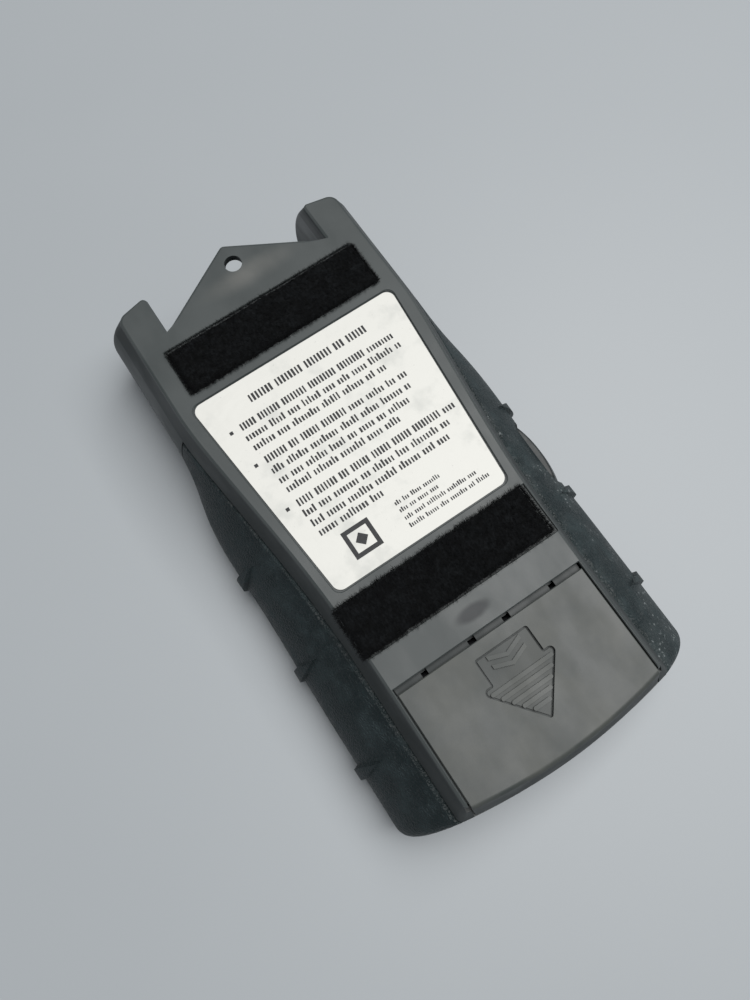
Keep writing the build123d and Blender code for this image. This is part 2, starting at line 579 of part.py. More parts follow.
save(light(STUD_LED_Y), "stud_led")
save(light(READY_LED_Y), "ready_led")
save(window(STUD_LED_Y), "stud_light_lens")
save(window(READY_LED_Y), "ready_light_lens")

# ---------------------------------------------------------------- felt pads, label, front panel
with BuildPart() as felt_pad_upper:
    slab((-26.8, 26.9), (UPPER_FELT[1] - 6.5, UPPER_FELT[1] + 6.2), FELT_Z)
save(felt_pad_upper, "felt_pad_upper")

with BuildPart() as felt_pad_lower:
    slab((-25.9, 25.3), (LOWER_FELT[1] - 6.3, LOWER_FELT[1] + 6.5), FELT_Z)
save(felt_pad_lower, "felt_pad_lower")

with BuildPart() as instruction_label:
    extrude(label_outline(FACE_Z - LABEL_RECESS), amount=LABEL_THICKNESS)
save(instruction_label, "instruction_label")

with BuildPart() as front_panel:
    with BuildSketch(Plane.XY.offset(0.15)):
        with Locations((PANEL[0], PANEL[1])):
            RectangleRounded(PANEL[2] - 2 * PANEL_GAP, PANEL[3] - 2 * PANEL_GAP, PANEL_CORNER - PANEL_GAP)
    extrude(amount=0.45)
save(front_panel, "front_panel")

# ---------------------------------------------------------------- fasteners
with BuildPart() as case_screws:
    rods(SCREW_SPOTS, SCREW_R, (SCREW_TIP_Z, FACE_Z - 2.3))
    rods(SCREW_SPOTS, SCREW_HEAD_R, (FACE_Z - 2.3, FACE_Z - FELT_RECESS - 0.1))
    with Locations([(x, y, FACE_Z - FELT_RECESS - 0.1) for x, y in SCREW_SPOTS]):
        Box(3.0, 0.7, 1.6, mode=Mode.SUBTRACT)
        Box(0.7, 3.0, 1.6, mode=Mode.SUBTRACT)
save(case_screws, "case_screws")

with BuildPart() as board_screws:
    rods(BOARD_SCREW_SPOTS, 0.9, (BOARD_Z - 7, BOARD_TOP_Z))
    rods(BOARD_SCREW_SPOTS, 2.0, (BOARD_TOP_Z, BOARD_TOP_Z + 1.3))
    with Locations([(x, y, BOARD_TOP_Z + 1.3) for x, y in BOARD_SCREW_SPOTS]):
        Box(2.6, 0.6, 1.2, mode=Mode.SUBTRACT)
save(board_screws, "board_screws")
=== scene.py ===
import json
from math import pi

import bpy
import numpy as np
from mathutils import Matrix, Vector


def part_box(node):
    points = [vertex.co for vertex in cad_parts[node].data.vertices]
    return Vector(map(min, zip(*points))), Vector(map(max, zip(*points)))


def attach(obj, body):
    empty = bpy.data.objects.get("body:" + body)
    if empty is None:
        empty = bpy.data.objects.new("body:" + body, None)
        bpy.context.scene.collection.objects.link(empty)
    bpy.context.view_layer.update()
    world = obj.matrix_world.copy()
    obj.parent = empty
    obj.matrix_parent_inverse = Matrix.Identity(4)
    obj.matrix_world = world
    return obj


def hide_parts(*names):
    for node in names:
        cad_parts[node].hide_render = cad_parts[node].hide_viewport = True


# A stud finder lying on its front. Meshes are worked out in millimetres in the CAD's frame and written
# in metres: +Z out of the flat wall face, +Y towards the horns, +X towards the side button.
MM = 0.001
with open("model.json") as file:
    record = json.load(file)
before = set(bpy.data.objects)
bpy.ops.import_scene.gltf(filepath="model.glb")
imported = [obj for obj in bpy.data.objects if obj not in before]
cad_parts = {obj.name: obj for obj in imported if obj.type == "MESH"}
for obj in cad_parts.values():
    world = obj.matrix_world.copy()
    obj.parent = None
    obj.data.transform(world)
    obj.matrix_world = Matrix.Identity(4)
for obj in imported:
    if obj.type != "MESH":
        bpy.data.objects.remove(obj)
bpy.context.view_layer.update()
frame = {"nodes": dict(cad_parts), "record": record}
FACE_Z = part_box("back_shell")[1].z      # wall face, metres
FACE = FACE_Z / MM                      # wall face, millimetres


# ---------------------------------------------------------------- shader maths
class Field:
    """A value or colour that varies over a surface. Arithmetic on it adds Math nodes."""

    def __init__(self, look, socket):
        self.look = look
        self.socket = socket

    def _math(self, operation, first, second):
        return self.look.node("Math", dict(operation=operation), {0: first, 1: second})

    def __add__(self, other):
        return self._math("ADD", self, other)

    def __radd__(self, other):
        return self._math("ADD", other, self)

    def __sub__(self, other):
        return self._math("SUBTRACT", self, other)

    def __rsub__(self, other):
        return self._math("SUBTRACT", other, self)

    def __mul__(self, other):
        return self._math("MULTIPLY", self, other)

    def __rmul__(self, other):
        return self._math("MULTIPLY", other, self)

    def __truediv__(self, other):
        return self._math("DIVIDE", self, other)

    def __pow__(self, other):
        return self._math("POWER", self, other)


class Look:
    """A procedural material: a Principled shader and the fields that feed it."""

    def __init__(self, name, colour, roughness, **constants):
        self.material = bpy.data.materials.new(name)
        self.material.use_nodes = True
        self.tree = self.material.node_tree
        self.shader = self.tree.nodes["Principled BSDF"]
        self.shader.inputs["Base Color"].default_value = (*colour, 1.0)
        self.shader.inputs["Roughness"].default_value = roughness
        for socket, value in constants.items():
            self.shader.inputs[socket.replace("_", " ")].default_value = value
        self.place = self.node("TexCoord", out="Object")

    def node(self, kind, settings=None, inputs=None, out=0):
        """Adds a node, sets its settings, then its input values or links, and returns one output."""
        made = self.tree.nodes.new("ShaderNode" + kind)
        for key, value in (settings or {}).items():
            setattr(made, key, value)
        for key, value in (inputs or {}).items():
            if isinstance(value, Field):
                self.tree.links.new(value.socket, made.inputs[key])
            else:
                made.inputs[key].default_value = value
        return Field(self, made.outputs[out])

    def noise(self, size_mm, detail=3.0, roughness=0.5, stretch=(1, 1, 1)):
        """Smooth noise from 0 to 1 with features of about size_mm."""
        place = self.node("Mapping", None, {"Vector": self.place, "Scale": stretch})
        return self.node("TexNoise", None, {"Vector": place, "Scale": 1000.0 / size_mm,
                                            "Detail": detail, "Roughness": roughness})

    def cells(self, size_mm, feature="F1", out="Distance"):
        """Cell pattern with cells of about size_mm."""
        return self.node("TexVoronoi", dict(feature=feature),
                         {"Vector": self.place, "Scale": 1000.0 / size_mm}, out=out)

    def step(self, field, low, high):
        """0 below low, 1 above high, smooth between."""
        return self.node("MapRange", dict(interpolation_type="SMOOTHSTEP"),
                         {"Value": field, "From Min": low, "From Max": high})

    def axis(self, name):
        """One coordinate of the place on the object, in millimetres."""
        return self.node("SeparateXYZ", None, {0: self.place}, out=name) * 1000.0

    def mix(self, factor, first, second):
        """Colour between first and second by factor."""
        first, second = (end if isinstance(end, Field) else (*end, 1.0) for end in (first, second))
        return self.node("Mix", dict(data_type="RGBA"), {0: factor, 6: first, 7: second}, out=2)

    def feed(self, socket, field):
        """Links a field to one of the shader's sockets."""
        self.tree.links.new(field.socket, self.shader.inputs[socket])

    def bump(self, height, distance_mm, strength=1.0):
        """Raises the surface by height times distance_mm."""
        relief = self.node("Bump", None, {"Height": height, "Distance": distance_mm * MM,
                                          "Strength": strength}, out="Normal")
        self.feed("Normal", relief)


# ---------------------------------------------------------------- finishes
PAINTED_SHADE_PLASTIC = (0.026, 0.032, 0.033)    # painted shade: housing plastic below the wall face, in its recesses and down its flanks
SMEAR_TINT = (0.018, 0.021, 0.025)
SMEAR_SPOT = ((-1.0, -39.6), (5.6, 2.3))       # centre and reach of the smear above the door
# painted highlight: a paler colour where light shines off the tab
TAB_SHEEN_TINT = (0.150, 0.152, 0.144)
TAB_SHEEN_SPOT = ((2.0, 61.5), (17.0, 4.5))       # centre and reach of the painted highlight on the tab
SHADE_DEPTH = (1.3, 0.05)                # depths below the face: full painted shade, and none


def spot(look, centre, reach, soft=0.5):
    """1 inside an upright ellipse round centre, in millimetres, fading to 0 at its edge."""
    across = (look.axis("X") - centre[0]) / reach[0]
    along = (look.axis("Y") - centre[1]) / reach[1]
    return 1 - look.step((across * across + along * along) ** 0.5, 1 - soft, 1.0)


def housing_plastic(name, light, dark, mottle_mm, shaded_below_face=False, smear_and_tab_sheen=False):
    """Satin moulded plastic: spark-eroded grain and slow mottling. Optionally the colour stays as it is on
    the flat face and turns darker, painted shade, in its recesses and down its flanks. The wall face can
    also have a dull smear above the door and a paler patch on the tab, which is a painted highlight."""
    look = Look(name, light, 0.45, Specular_IOR_Level=0.4)
    mottle = look.noise(mottle_mm, 4.0, 0.6)
    smear = look.noise(9.0, 3.0, 0.55, (1.0, 0.45, 1.0))
    blend = look.step(mottle * 0.6 + smear * 0.4, 0.35, 0.65)
    shade = look.mix(blend, dark, light)
    gloss = 0.36 + 0.16 * look.step(smear, 0.3, 0.7)
    if smear_and_tab_sheen:
        smudge = spot(look, *SMEAR_SPOT, 0.55)
        # painted highlight: a paler patch on the tab, where light shines off it
        tab_sheen = spot(look, *TAB_SHEEN_SPOT, 0.9) * look.step(mottle, 0.3, 0.6)
        shade = look.mix(smudge * 0.85, shade, SMEAR_TINT)
        shade = look.mix(tab_sheen * 0.7, shade, TAB_SHEEN_TINT)
        gloss = gloss + 0.12 * smudge
    if shaded_below_face:
        # painted shade: more than about a millimetre below the flat face, in recesses and down the flanks,
        # the colour turns to a darker plastic
        height = look.axis("Z")
        painted_shade = 1 - look.step(height + 0.3 * (smear - 0.5), FACE - SHADE_DEPTH[0], FACE - SHADE_DEPTH[1])
        shade = look.mix(painted_shade, shade, PAINTED_SHADE_PLASTIC)
        gloss = gloss + 0.1 * painted_shade
    look.feed("Base Color", shade)
    look.feed("Roughness", gloss)
    grain = look.noise(0.22, 2.0, 0.5) + 0.6 * look.noise(1.3, 2.0, 0.5)
    look.bump(grain, 0.014, 0.5)
    return look.material


def grip_rubber(name, colour, scuffed):
    """Moulded rubber with leather grain; one grip also has pale scuffs and specks."""
    look = Look(name, colour, 0.6, Specular_IOR_Level=0.3)
    pale = tuple(c * 1.9 + 0.01 for c in colour)
    dust = look.step(look.noise(5.0, 4.0, 0.6), 0.4, 0.75)
    shade = look.mix(dust, colour, pale)
    if scuffed:
        specks = look.step(look.noise(1.0, 2.0, 0.5), 0.62, 0.7)
        patches = look.step(look.noise(14.0, 3.0, 0.6), 0.44, 0.6)
        shade = look.mix(patches * 0.25, shade, (0.075, 0.09, 0.092))
        shade = look.mix(specks * patches * 0.6, shade, (0.34, 0.37, 0.38))
    look.feed("Base Color", shade)
    look.feed("Roughness", 0.46 + 0.2 * dust)
    creases = look.step(look.cells(0.9, "DISTANCE_TO_EDGE"), 0.0, 0.3)
    look.bump(creases * (0.4 + look.noise(2.5, 2.0, 0.5)) + look.noise(0.7, 3.0, 0.65), 0.17, 0.9)
    return look.material


def plain_plastic(name, colour, roughness, grain_mm=0.4, spread=0.25, **constants):
    """Small moulded or coated part: slight shade changes and a fine grain."""
    look = Look(name, colour, roughness, **constants)
    shade = look.noise(2.5, 3.0, 0.6)
    dark = tuple(c * (1 - spread) for c in colour)
    light = tuple(min(1.0, c * (1 + spread)) for c in colour)
    look.feed("Base Color", look.mix(look.step(shade, 0.3, 0.7), dark, light))
    look.feed("Roughness", roughness * (0.85 + 0.3 * look.noise(1.7, 2.0, 0.5)))
    look.bump(look.noise(grain_mm, 2.0, 0.5), 0.01, 0.4)
    return look.material


def brushed_metal(name, colour, roughness):
    """Bare metal with fine lengthwise drawing lines and dull patches."""
    look = Look(name, colour, roughness, Metallic=1.0)
    lines = look.noise(0.35, 3.0, 0.6, (1.0, 0.08, 1.0))
    patches = look.noise(3.0, 3.0, 0.5)
    look.feed("Base Color", look.mix(patches, tuple(c * 0.75 for c in colour), colour))
    look.feed("Roughness", roughness * (0.7 + 0.6 * lines))
    look.bump(lines, 0.006, 0.4)
    return look.material


def felt_cloth(name, colour):
    """Black needled felt: fibre streaks with a faint sheen."""
    look = Look(name, colour, 0.95, Specular_IOR_Level=0.15, Sheen_Weight=0.05, Sheen_Roughness=0.5)
    look.shader.inputs["Sheen Tint"].default_value = (0.5, 0.53, 0.55, 1.0)
    fibres = look.noise(0.45, 4.0, 0.7, (1.0, 0.35, 1.0))
    clumps = look.noise(2.2, 3.0, 0.6)
    lighter = tuple(c * 5.0 for c in colour)
    look.feed("Base Color", look.mix(look.step(fibres * 0.6 + clumps * 0.4, 0.42, 0.72), colour, lighter))
    look.bump(fibres + clumps, 0.25, 0.8)
    return look.material


def label_film(name):
    """Off-white label stock with grey handling smudges and a few soft creases."""
    look = Look(name, (0.72, 0.72, 0.68), 0.5, Specular_IOR_Level=0.3)
    smudge = look.step(look.noise(9.0, 4.0, 0.6), 0.5, 0.72)
    specks = look.step(look.noise(0.8, 2.0, 0.5), 0.7, 0.78)
    shade = look.mix(smudge * 0.5, (0.79, 0.79, 0.75), (0.60, 0.615, 0.59))
    look.feed("Base Color", look.mix(specks * 0.35, shade, (0.45, 0.45, 0.44)))
    look.feed("Roughness", 0.42 + 0.2 * smudge)
    corner = look.step(look.axis("Y") - look.axis("X"), 38.0, 62.0)
    creases = look.noise(6.0, 2.0, 0.4, (1.0, 1.8, 1.0)) * corner
    look.bump(creases + 0.12 * look.noise(3.0, 2.0, 0.5), 0.5, 0.6)
    return look.material


def print_ink(name, colour):
    """Matt printing ink, slightly uneven."""
    look = Look(name, colour, 0.6)
    wear = look.noise(0.7, 3.0, 0.6)
    look.feed("Base Color", look.mix(look.step(wear, 0.35, 0.8), colour, tuple(c * 2.2 for c in colour)))
    look.bump(wear, 0.004, 0.4)
    return look.material


def tinted_lens(name, colour):
    """Clear tinted moulding with a diffusing inner face."""
    look = Look(name, colour, 0.15, Coat_Weight=0.6)
    rings = look.noise(0.8, 2.0, 0.5)
    look.feed("Base Color", look.mix(rings, tuple(c * 0.6 for c in colour), colour))
    look.feed("Roughness", 0.12 + 0.12 * rings)
    look.bump(rings, 0.01, 0.3)
    return look.material


LOOKS = {
    # painted shade: this is the wall face's plastic, given darker colours because on the front shell all of
    # it is sides and underside
    "housing_plastic": housing_plastic("housing_plastic", (0.042, 0.050, 0.051),
                                       (0.030, 0.037, 0.038), 30.0),
    "wall_face_plastic": housing_plastic("wall_face_plastic", (0.067, 0.077, 0.078),
                                         (0.051, 0.060, 0.061), 30.0, shaded_below_face=True, smear_and_tab_sheen=True),
    "door_plastic": housing_plastic("door_plastic", (0.078, 0.084, 0.078), (0.051, 0.059, 0.058), 11.0,
                                    shaded_below_face=True),
    "grip_rubber": grip_rubber("grip_rubber", (0.011, 0.019, 0.021), False),
    "grip_rubber_scuffed": grip_rubber("grip_rubber_scuffed", (0.011, 0.019, 0.021), True),
    "button_rubber": plain_plastic("button_rubber", (0.014, 0.019, 0.020), 0.5, 0.6),
    "felt": felt_cloth("felt", (0.0018, 0.0021, 0.0024)),
    "label_film": label_film("label_film"),
    "print_ink": print_ink("print_ink", (0.012, 0.013, 0.015)),
    "panel_film": plain_plastic("panel_film", (0.045, 0.05, 0.055), 0.3, 0.3),
    "lens_red": tinted_lens("lens_red", (0.42, 0.012, 0.012)),
    "lens_green": tinted_lens("lens_green", (0.02, 0.27, 0.05)),
    "led_red": tinted_lens("led_red", (0.5, 0.02, 0.02)),
    "led_green": tinted_lens("led_green", (0.03, 0.4, 0.08)),
    "board_laminate": plain_plastic("board_laminate", (0.015, 0.13, 0.05), 0.35, 0.5),
    "copper": brushed_metal("copper", (0.75, 0.42, 0.27), 0.35),
    "chip_epoxy": plain_plastic("chip_epoxy", (0.02, 0.02, 0.022), 0.55),
    "capacitor_sleeve": plain_plastic("capacitor_sleeve", (0.02, 0.03, 0.1), 0.3),
    "resistor_coat": plain_plastic("resistor_coat", (0.5, 0.38, 0.22), 0.45),
    "trimmer_plastic": plain_plastic("trimmer_plastic", (0.03, 0.09, 0.4), 0.4),
    "buzzer_plastic": plain_plastic("buzzer_plastic", (0.015, 0.015, 0.016), 0.5),
    "switch_plastic": plain_plastic("switch_plastic", (0.02, 0.02, 0.021), 0.45),
    "plunger_plastic": plain_plastic("plunger_plastic", (0.6, 0.6, 0.57), 0.45),
    "battery_jacket": plain_plastic("battery_jacket", (0.05, 0.052, 0.058), 0.32, Metallic=0.6),
    "contact_steel": brushed_metal("contact_steel", (0.72, 0.72, 0.73), 0.25),
    "contact_block_plastic": plain_plastic("contact_block_plastic", (0.02, 0.02, 0.02), 0.55),
    "lead_red": plain_plastic("lead_red", (0.4, 0.015, 0.012), 0.4),
    "lead_black": plain_plastic("lead_black", (0.012, 0.012, 0.013), 0.4),
    "foam": felt_cloth("foam", (0.03, 0.03, 0.033)),
    "screw_steel": brushed_metal("screw_steel", (0.55, 0.55, 0.56), 0.35),
}


def paint(piece, look):
    """Gives a piece one material."""
    piece.data.materials.clear()
    piece.data.materials.append(LOOKS[look])


for part in frame["record"]["subparts"]:
    paint(frame["nodes"][part["node"]], part["material_slot"])
paint(frame["nodes"]["right_grip"], "grip_rubber_scuffed")
paint(frame["nodes"]["back_shell"], "wall_face_plastic")


# ---------------------------------------------------------------- mesh helpers
def mesh_piece(name, points, faces, look, body, smooth=True):
    """Makes a mesh from points in metres and faces as rows of point numbers, and lets it ride a body."""
    mesh = bpy.data.meshes.new(name)
    mesh.from_pydata(np.asarray(points, float).tolist(), [], [list(face) for face in faces])
    mesh.update()
    mesh.shade_smooth() if smooth else mesh.shade_flat()
    piece = bpy.data.objects.new(name, mesh)
    bpy.context.scene.collection.objects.link(piece)
    paint(piece, look)
    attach(piece, body)
    return piece


def grid_faces(rows, columns, wrap=False):
    """Quads of a grid whose points run along rows; wrap joins the last column to the first."""
    row = np.arange(rows - 1)[:, None] * columns
    column = np.arange(columns if wrap else columns - 1)[None, :]
    follow = (column + 1) % columns
    quads = np.stack([row + column, row + follow, row + columns + follow, row + columns + column], -1)
    return quads.reshape(-1, 4)


def blocks(centres, sizes, z):
    """Flat boxes with given centres and sizes in x and y, from z[0] up to z[1]. Points come back in
    metres."""
    centres = np.asarray(centres, float)[:, None, :]
    sizes = np.asarray(sizes, float)[:, None, :]
    corner = np.array([(-0.5, -0.5), (0.5, -0.5), (0.5, 0.5), (-0.5, 0.5)])[None]
    flat = centres + corner * sizes
    low = np.concatenate([flat, np.full(flat.shape[:2] + (1,), z[0])], -1)
    high = np.concatenate([flat, np.full(flat.shape[:2] + (1,), z[1])], -1)
    points = np.concatenate([low, high], 1).reshape(-1, 3)
    cube = np.array([(3, 2, 1, 0), (4, 5, 6, 7), (0, 1, 5, 4), (1, 2, 6, 5), (2, 3, 7, 6), (3, 0, 4, 7)])
    faces = (np.arange(len(flat))[:, None, None] * 8 + cube[None]).reshape(-1, 4)
    return points * MM, faces


# ---------------------------------------------------------------- felt pads
STRIP_GRID = (56, 180)          # rows and columns of a strip's surface
STRIP_SKEW = 0.004              # slope of a strip that is glued on slightly turned
STRIP_ROUND = 0.35              # rounding of its cut edges
STRIP_LUMPS = 0.18
RAGGED_RIM = (0.4, 0.25)        # width of the ragged rim and how far it wanders
UNDERSIDE = 0.02                # the strip's flat underside, below the wall face
PILE_ROOM = 0.35                # height left above the strip for its fibres
PILE_COUNT = 15000
PILE_EDGE_SHARE = 0.25          # share of the fibres that grow out of the cut edges
PILE_ROOTS = (0.45, 0.9)        # heights of the edge and top roots, as shares of the strip's height
PILE_SPREAD = (1, 1, 0.15)      # how far the lean scatters along x, y and z
PILE_OUTWARD = 1.2              # extra lean of the edge fibres away from the strip
PILE_UPWARD = 0.55              # extra lean of every fibre away from the wall face
PILE_BEND = 0.25                # scatter of a fibre's bend
PILE_LENGTH = (0.5, 1.25)
PILE_HALF_WIDTH = 0.035
PILE_FLOOR = 0.05               # lowest a fibre reaches above the wall face
PILE_MIDDLE = 0.4               # highest a fibre's middle reaches above the strip
PILE_TIP = 0.55                 # highest its tip reaches


def felt_pad(node, offset, seed, body):
    """Felt strip on a grid: its rectangle is lifted by height * (1 - exp(-distance to the edge /
    rounding)) plus slow noise, and the same noise makes the rim ragged. A skirt closes it downwards
    onto a flat underside. Thin leaning fibres stand on it."""
    low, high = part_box(node)
    draw = np.random.default_rng(seed)
    half = np.array([(high.x - low.x) / 2, (high.y - low.y) / 2]) / MM
    centre = np.array([(high.x + low.x) / 2, (high.y + low.y) / 2]) / MM + offset
    rows, columns = STRIP_GRID
    v, u = np.meshgrid(np.linspace(-1, 1, rows), np.linspace(-1, 1, columns), indexing="ij")
    rim = np.minimum((1 - abs(u)) * half[0], (1 - abs(v)) * half[1])
    noise = draw.normal(0, 1, (rows, columns))
    for axis in (0, 1):
        noise = (np.roll(noise, 1, axis) + 2 * noise + np.roll(noise, -1, axis)) / 4
    wander = RAGGED_RIM[1] * noise * (rim < RAGGED_RIM[0])
    other_wander = RAGGED_RIM[1] * noise.T.reshape(rows, columns) * (rim < RAGGED_RIM[0])
    x = u * half[0] + wander
    y = v * half[1] + other_wander + STRIP_SKEW * u * half[0]
    top = (high.z - FACE_Z) / MM - PILE_ROOM
    lift = top * (1 - np.exp(-rim / STRIP_ROUND)) + STRIP_LUMPS * noise * np.clip(rim, 0, 1)
    surface = np.stack([x + centre[0], y + centre[1], lift + FACE], -1).reshape(-1, 3)
    base = surface.copy()
    base[:, 2] = FACE - UNDERSIDE
    upper = grid_faces(rows, columns)
    lower = upper[:, ::-1] + rows * columns
    border = np.concatenate([np.arange(columns), np.arange(1, rows) * columns + columns - 1,
                             (rows - 1) * columns + np.arange(columns - 2, -1, -1),
                             np.arange(rows - 2, 0, -1) * columns])
    after = np.roll(border, -1)
    skirt = np.stack([border + rows * columns, after + rows * columns, after, border], -1)
    pad = mesh_piece(node.replace("pad", "strip"), np.concatenate([surface, base]) * MM,
                     np.concatenate([upper, lower, skirt]), "felt", body)
    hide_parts(node)
    felt_fibres(node.replace("pad", "pile"), centre, half, top, draw, body)


def felt_fibres(name, centre, half, top, draw, body):
    """Fibres as bent slivers: root + lean * length, with a random bend half way up, two points wide
    at the root and middle and one at the tip. Those on the cut edges lean outwards."""
    u = draw.uniform(-1, 1, PILE_COUNT)
    v = draw.uniform(-1, 1, PILE_COUNT)
    edge = draw.random(PILE_COUNT) < PILE_EDGE_SHARE
    side = draw.integers(0, 4, PILE_COUNT)
    u = np.where(edge & (side == 0), -1.0, np.where(edge & (side == 1), 1.0, u))
    v = np.where(edge & (side == 2), -1.0, np.where(edge & (side == 3), 1.0, v))
    root = np.stack([centre[0] + u * half[0], centre[1] + v * half[1] + STRIP_SKEW * u * half[0],
                     FACE + top * np.where(edge, *PILE_ROOTS)], -1)
    outward = np.stack([np.where(side < 2, u, 0), np.where(side >= 2, v, 0), np.zeros(PILE_COUNT)], -1)
    lean = draw.normal(0, 1, (PILE_COUNT, 3)) * PILE_SPREAD
    lean += outward * edge[:, None] * PILE_OUTWARD + (0, 0, PILE_UPWARD)
    lean /= np.linalg.norm(lean, axis=1)[:, None]
    length = draw.uniform(*PILE_LENGTH, PILE_COUNT)[:, None]
    across = np.cross(lean, draw.normal(0, 1, (PILE_COUNT, 3)))
    across *= PILE_HALF_WIDTH / np.linalg.norm(across, axis=1)[:, None]
    bend = draw.normal(0, PILE_BEND, (PILE_COUNT, 3)) * (1, 1, 0.3)
    middle = root + lean * length * 0.5 + bend * 0.3
    tip = root + lean * length + bend
    tip[:, 2] = np.clip(tip[:, 2], FACE + PILE_FLOOR, FACE + top + PILE_TIP)
    middle[:, 2] = np.clip(middle[:, 2], FACE + PILE_FLOOR, FACE + top + PILE_MIDDLE)
    points = np.stack([root - across, root + across, middle + across, middle - across, tip], 1)
    number = np.arange(PILE_COUNT)[:, None] * 5
    faces = list(number + np.array([(0, 1, 2, 3)])) + list(number + np.array([(3, 2, 4)]))
    mesh_piece(name, points.reshape(-1, 3) * MM, faces, "felt", body)


felt_pad("felt_pad_upper", (0.55, -0.45), 11, "housing")
felt_pad("felt_pad_lower", (-0.7, 0.15), 12, "housing")


# ---------------------------------------------------------------- label print
# Rows of greeked print: y of the row's middle, its left and right ends, and the x up to which all of
# its strokes are tall, or None.
TITLE_ROW = (32.0, -16.0, 17.0, 99.0)
PRINT_ROWS = ((26.8, -21.5, 23.2, 9.5), (23.8, -21.8, 22.5, None), (20.8, -21.5, 17.0, None),
              (16.6, -20.8, 18.7, -0.5), (13.5, -21.0, 18.4, None), (10.5, -20.8, 17.0, None),
              (7.7, -20.5, 10.7, None), (3.4, -20.2, 24.0, 13.0), (0.5, -20.3, 20.0, None),
              (-2.5, -20.0, 19.7, None), (-5.3, -19.8, -1.7, None))
SMALL_LEFT = -1.5
SMALL_ROWS = ((-9.3, 12.0), (-11.3, 9.0), (-13.4, 18.0), (-15.5, 20.4))     # y and right end
BULLETS = ((-23.9, 26.8), (-23.2, 16.6), (-22.7, 3.4))
BULLET_SIZE = 0.9
TITLE_STROKE = (2.1, 0.95)      # stroke height and the pitch of the strokes
PRINT_STROKE = (1.9, 0.85)      # the same for the other rows
SMALL_STROKE = (1.15, 0.58)
STROKE_WIDTH = (0.46, 0.66)     # share of the pitch
SHORT_STROKE = 0.72             # height of a short stroke beside a tall one
TALL_SHARE = 0.22
WORD_LENGTH = (3, 10)           # fewest strokes in a word, and one more than the most
WORD_STEP = 1.9                 # from a word's last stroke to the next word, in pitches
INK = (-0.01, 0.02)             # the ink's underside and top, from the film's surface
PICTOGRAM_CENTRE = (-12.2, -11.9)
PICTOGRAM_BAR = 1.1
PICTOGRAM_REACH = 3.1           # from its centre to the middle of the frame's bars
LOZENGE_REACH = 1.7


def ink_layer():
    """Heights of the ink's underside and top, in millimetres."""
    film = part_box("instruction_label")[1].z / MM
    return film + INK[0], film + INK[1]


def strokes(draw, row, stroke):
    """Words of upright strokes from the row's start to its stop, each stroke tall or short."""
    y, start, stop, tall_until = row
    height, pitch = stroke
    centres, sizes = [], []
    x = start
    while x < stop - pitch:
        spots = x + pitch * np.arange(int(draw.integers(*WORD_LENGTH)))
        spots = spots[spots < stop]
        capital = tall_until is not None and x < tall_until
        size_y = height * np.where((draw.random(len(spots)) < TALL_SHARE) | capital, 1.0, SHORT_STROKE)
        centres.append(np.stack([spots + pitch / 2, y - height / 2 + size_y / 2], -1))
        sizes.append(np.stack([pitch * draw.uniform(*STROKE_WIDTH, len(spots)), size_y], -1))
        x = spots[-1] + WORD_STEP * pitch
    return np.concatenate(centres), np.concatenate(sizes)


def label_print():
    """Greeked print: flat bars of ink that stand for rows of small type, with no lettering."""
    draw = np.random.default_rng(5)
    runs = [strokes(draw, TITLE_ROW, TITLE_STROKE)]
    runs += [strokes(draw, row, PRINT_STROKE) for row in PRINT_ROWS]
    runs += [strokes(draw, (y, SMALL_LEFT, stop, None), SMALL_STROKE) for y, stop in SMALL_ROWS]
    runs.append((np.array(BULLETS), np.full((len(BULLETS), 2), BULLET_SIZE)))
    centres, sizes = (np.concatenate(columns) for columns in zip(*runs))
    points, faces = blocks(centres, sizes, ink_layer())
    mesh_piece("label_print", points, faces, "print_ink", "housing", smooth=False)


def label_pictogram():
    """Generic pictogram of the same ink: a thick square frame round a small square on its corner,
    whose corners are at centre + reach * (cos, sin) of four quarter turns."""
    layer = ink_layer()
    bar, reach = PICTOGRAM_BAR, PICTOGRAM_REACH
    centre = np.array(PICTOGRAM_CENTRE)
    centres = [centre + (0, reach), centre - (0, reach), centre + (reach, 0), centre - (reach, 0)]
    sizes = [(2 * reach + bar, bar), (2 * reach + bar, bar), (bar, 2 * reach - bar), (bar, 2 * reach - bar)]
    points, faces = blocks(centres, sizes, layer)
    turn = np.arange(4) * pi / 2
    lozenge = LOZENGE_REACH * np.stack([np.cos(turn), np.sin(turn)], -1) + centre
    ends = [np.column_stack([lozenge, np.full(4, height)]) * MM for height in layer]
    base = len(points)
    sides = [(base + i, base + (i + 1) % 4, base + 4 + (i + 1) % 4, base + 4 + i) for i in range(4)]
    caps = [(base + 3, base + 2, base + 1, base), (base + 4, base + 5, base + 6, base + 7)]
    mesh_piece("label_pictogram", np.concatenate([points, *ends]), list(faces) + sides + caps,
               "print_ink", "housing", smooth=False)


label_print()
label_pictogram()


# ---------------------------------------------------------------- foam pad under the door
FOAM_ROUND = 0.35               # rounding of the pad's edges
FOAM_GRID = (32, 96)            # steps from pole to pole and round
FOAM_POLE = 0.03                # angle of the small flat cap at each pole


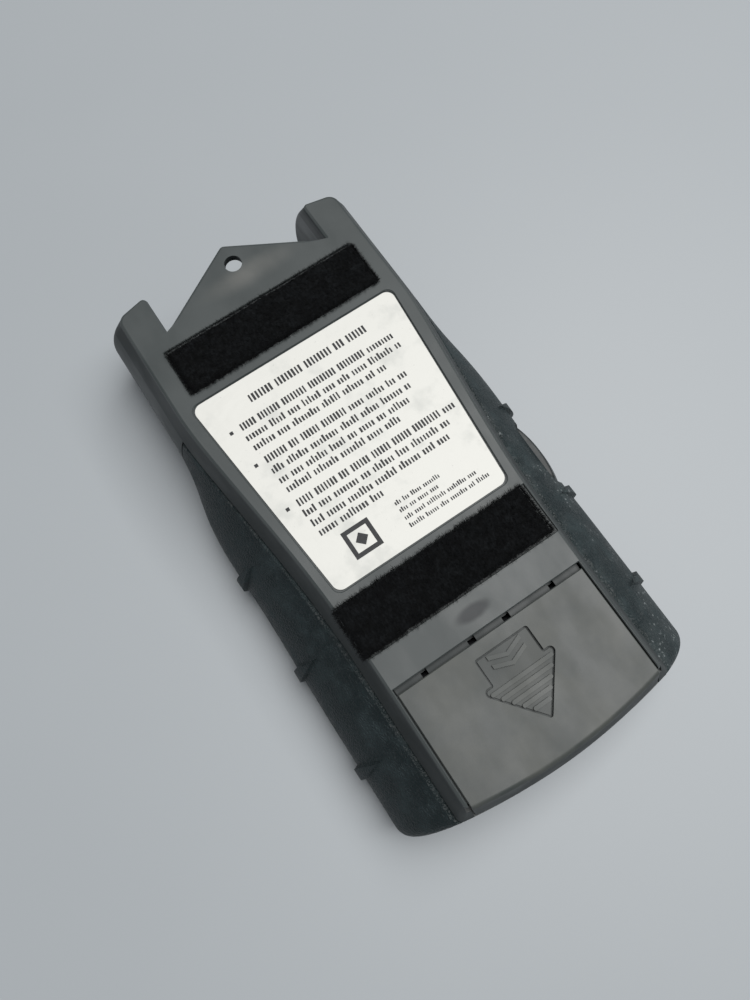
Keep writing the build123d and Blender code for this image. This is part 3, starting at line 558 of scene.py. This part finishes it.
def foam_pad(node):
    """Soft slab: for each direction d of a sphere grid the point is the slab's centre plus
    sign(d) * (half size - rounding) + rounding * d. A flat cap closes each pole."""
    low, high = (np.array(corner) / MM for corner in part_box(node))
    half = (high - low) / 2
    rows, columns = FOAM_GRID
    polar, turn = np.meshgrid(np.linspace(FOAM_POLE, pi - FOAM_POLE, rows),
                              np.arange(columns) * 2 * pi / columns, indexing="ij")
    way = np.stack([np.sin(polar) * np.cos(turn), np.sin(polar) * np.sin(turn), np.cos(polar)], -1)
    points = (high + low) / 2 + np.sign(np.round(way, 6)) * (half - FOAM_ROUND) + FOAM_ROUND * way
    last = (rows - 1) * columns
    faces = list(grid_faces(rows, columns, wrap=True)[:, ::-1])
    faces += [range(columns), range(last + columns - 1, last - 1, -1)]
    pad = mesh_piece("door_foam", points.reshape(-1, 3) * MM, faces, "foam", "door", smooth=False)
    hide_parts(node)


foam_pad("battery_foam_pad")


# ---------------------------------------------------------------- floor, light and camera
TABLE_REACH = 4.0               # half the table's width, metres
LAMP_PLACE = (0.78, 0.0, 2.3)   # metres
LAMP_SIZE = 2.0                 # metres
LAMP_POWER = 69.0               # watts
LAMP_COLOUR = (1.0, 0.99, 0.975)
LAMP_AIM = (0.0, 0.0, 0.01)
ROOM_COLOUR = (0.78, 0.83, 0.88, 1.0)
ROOM_STRENGTH = 0.14
LENS = 27.04                    # focal length, for a sensor of SENSOR, both in millimetres
SENSOR = 36.0
CAMERA_RIGHT = (0.83116, -0.55566, -0.02031)
CAMERA_UP = (0.54082, 0.79940, 0.26169)
CAMERA_PLACE = (-0.02717, -0.04577, FACE_Z + 0.16782)


def tabletop():
    """Smooth painted table, one large square under the tool."""
    look = Look("table_paint", (0.40, 0.43, 0.455), 0.5)
    cloud = look.noise(160.0, 3.0, 0.5)
    look.feed("Base Color", look.mix(cloud, (0.385, 0.415, 0.44), (0.42, 0.45, 0.475)))
    look.feed("Roughness", 0.4 + 0.15 * cloud)
    look.bump(look.noise(1.5, 2.0, 0.5), 0.02, 0.25)
    corners = [(x * TABLE_REACH, y * TABLE_REACH, 0) for x, y in ((-1, -1), (1, -1), (1, 1), (-1, 1))]
    mesh = bpy.data.meshes.new("tabletop")
    mesh.from_pydata(corners, [], [(0, 1, 2, 3)])
    mesh.materials.append(look.material)
    table = bpy.data.objects.new("tabletop", mesh)
    bpy.context.scene.collection.objects.link(table)


def softbox(name):
    """Square area light aimed at the tool."""
    lamp = bpy.data.lights.new(name, "AREA")
    lamp.size = LAMP_SIZE
    lamp.energy = LAMP_POWER
    lamp.color = LAMP_COLOUR
    holder = bpy.data.objects.new(name, lamp)
    holder.location = LAMP_PLACE
    holder.rotation_euler = (Vector(LAMP_AIM) - Vector(LAMP_PLACE)).to_track_quat("-Z", "Y").to_euler()
    bpy.context.scene.collection.objects.link(holder)


def room():
    """Faint even light from all round."""
    world = bpy.data.worlds.new("room")
    world.use_nodes = True
    background = world.node_tree.nodes["Background"].inputs
    background["Color"].default_value = ROOM_COLOUR
    background["Strength"].default_value = ROOM_STRENGTH
    bpy.context.scene.world = world
    bpy.context.scene.view_settings.view_transform = "Standard"


def camera():
    """Camera held above the lower left of the tool, turned so that the horns point up and left."""
    lens = bpy.data.cameras.new("camera")
    lens.lens = LENS
    lens.sensor_width = SENSOR
    lens.clip_start = 0.01
    right, up = Vector(CAMERA_RIGHT), Vector(CAMERA_UP)
    turn = Matrix((right, up, right.cross(up))).transposed().to_4x4()
    holder = bpy.data.objects.new("camera", lens)
    holder.matrix_world = Matrix.Translation(CAMERA_PLACE) @ turn
    bpy.context.scene.collection.objects.link(holder)
    bpy.context.scene.camera = holder


tabletop()
softbox("ceiling_light")
room()
camera()
